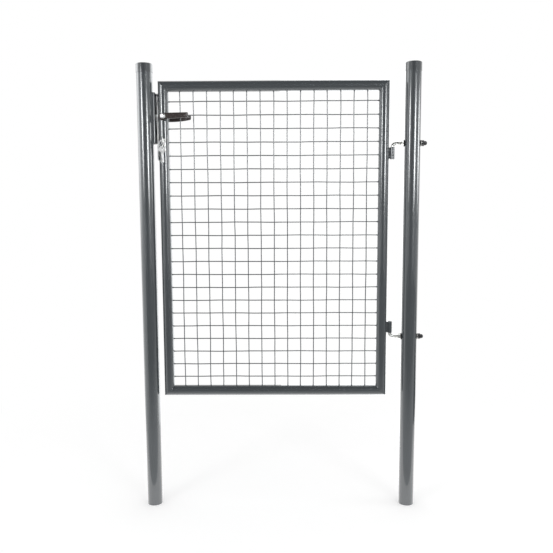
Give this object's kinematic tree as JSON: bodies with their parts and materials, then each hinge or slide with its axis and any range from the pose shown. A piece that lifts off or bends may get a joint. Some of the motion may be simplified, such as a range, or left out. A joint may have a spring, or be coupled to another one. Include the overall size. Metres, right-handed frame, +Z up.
{
  "type": "garden gate with wire mesh leaf and posts",
  "caption": "Single garden gate: tube frame filled with welded square wire mesh, hung on hook pins between round posts, with a lever lock, strike box and keys.",
  "frame": {"origin": "middle of the hinge post's foot, at ground level", "axes": "+Z up along the posts, -X from the hinge post along the closed leaf to the latch post, +Y away from the side that the leaf opens to"},
  "size_m": [1.0858, 0.1096, 1.7054],
  "materials": {
    "coated_steel": "glossy dark grey powder coat",
    "zinc_plated_steel": "dull zinc plating",
    "polished_nickel": "polished nickel plating",
    "black_rubber": "matt",
    "cap_plastic": "smooth moulded plastic",
    "grip_plastic": "satin moulded plastic"
  },
  "bodies": {
    "posts": {"hinge_post": "coated_steel", "hinge_post_cap": "cap_plastic", "latch_post": "coated_steel", "latch_post_cap": "cap_plastic", "strike_box": "coated_steel", "upper_hook_pin": "zinc_plated_steel", "lower_hook_pin": "zinc_plated_steel", "upper_inner_nut": "zinc_plated_steel", "lower_inner_nut": "zinc_plated_steel", "upper_inner_washer": "black_rubber", "lower_inner_washer": "black_rubber", "upper_outer_washer": "zinc_plated_steel", "lower_outer_washer": "zinc_plated_steel", "upper_cap_nut": "cap_plastic", "lower_cap_nut": "cap_plastic"},
    "leaf": {"top_rail": "coated_steel", "bottom_rail": "coated_steel", "hinge_stile": "coated_steel", "lock_stile": "coated_steel", "mesh_panel": "coated_steel", "upper_hinge_sleeve": "coated_steel", "lower_hinge_sleeve": "coated_steel", "lock_case": "zinc_plated_steel", "lock_forend": "zinc_plated_steel", "dead_bolt": "polished_nickel", "lock_cylinder": "polished_nickel", "lock_key": "polished_nickel", "front_rose": "grip_plastic", "rear_rose": "grip_plastic"},
    "handle": {"lever_spindle": "zinc_plated_steel", "front_lever_neck": "polished_nickel", "rear_lever_neck": "polished_nickel", "front_lever_grip": "grip_plastic", "rear_lever_grip": "grip_plastic"},
    "latch": {"latch_bolt": "polished_nickel"},
    "key_bunch": {"key_ring": "polished_nickel", "front_spare_key": "polished_nickel", "rear_spare_key": "polished_nickel"}
  },
  "joints": [
    {"name": "gate_swing", "type": "hinge", "parent": "posts", "child": "leaf", "pos_m": [-0.0745, 0, 1.04], "axis": [0, 0, 1], "range_deg": [0, 100]},
    {"name": "handle_turn", "type": "hinge", "parent": "leaf", "child": "handle", "pos_m": [-0.931, 0, 1.507], "axis": [0, 1, 0], "range_deg": [0, 40], "stiffness_Nm_per_rad": 1.2, "springref_deg": -20.05},
    {"name": "latch_slide", "type": "slide", "parent": "leaf", "child": "latch", "axis": [1, 0, 0], "range_m": [0, 0.01]},
    {"name": "keys_swing", "type": "hinge", "parent": "leaf", "child": "key_bunch", "pos_m": [-0.931, -0.046, 1.4177], "axis": [-1, 0, 0], "range_deg": [-10, 35]}
  ],
  "couplings": [
    {"joint": "latch_slide", "follows": "handle_turn", "m_per_rad": 0.0143}
  ]
}
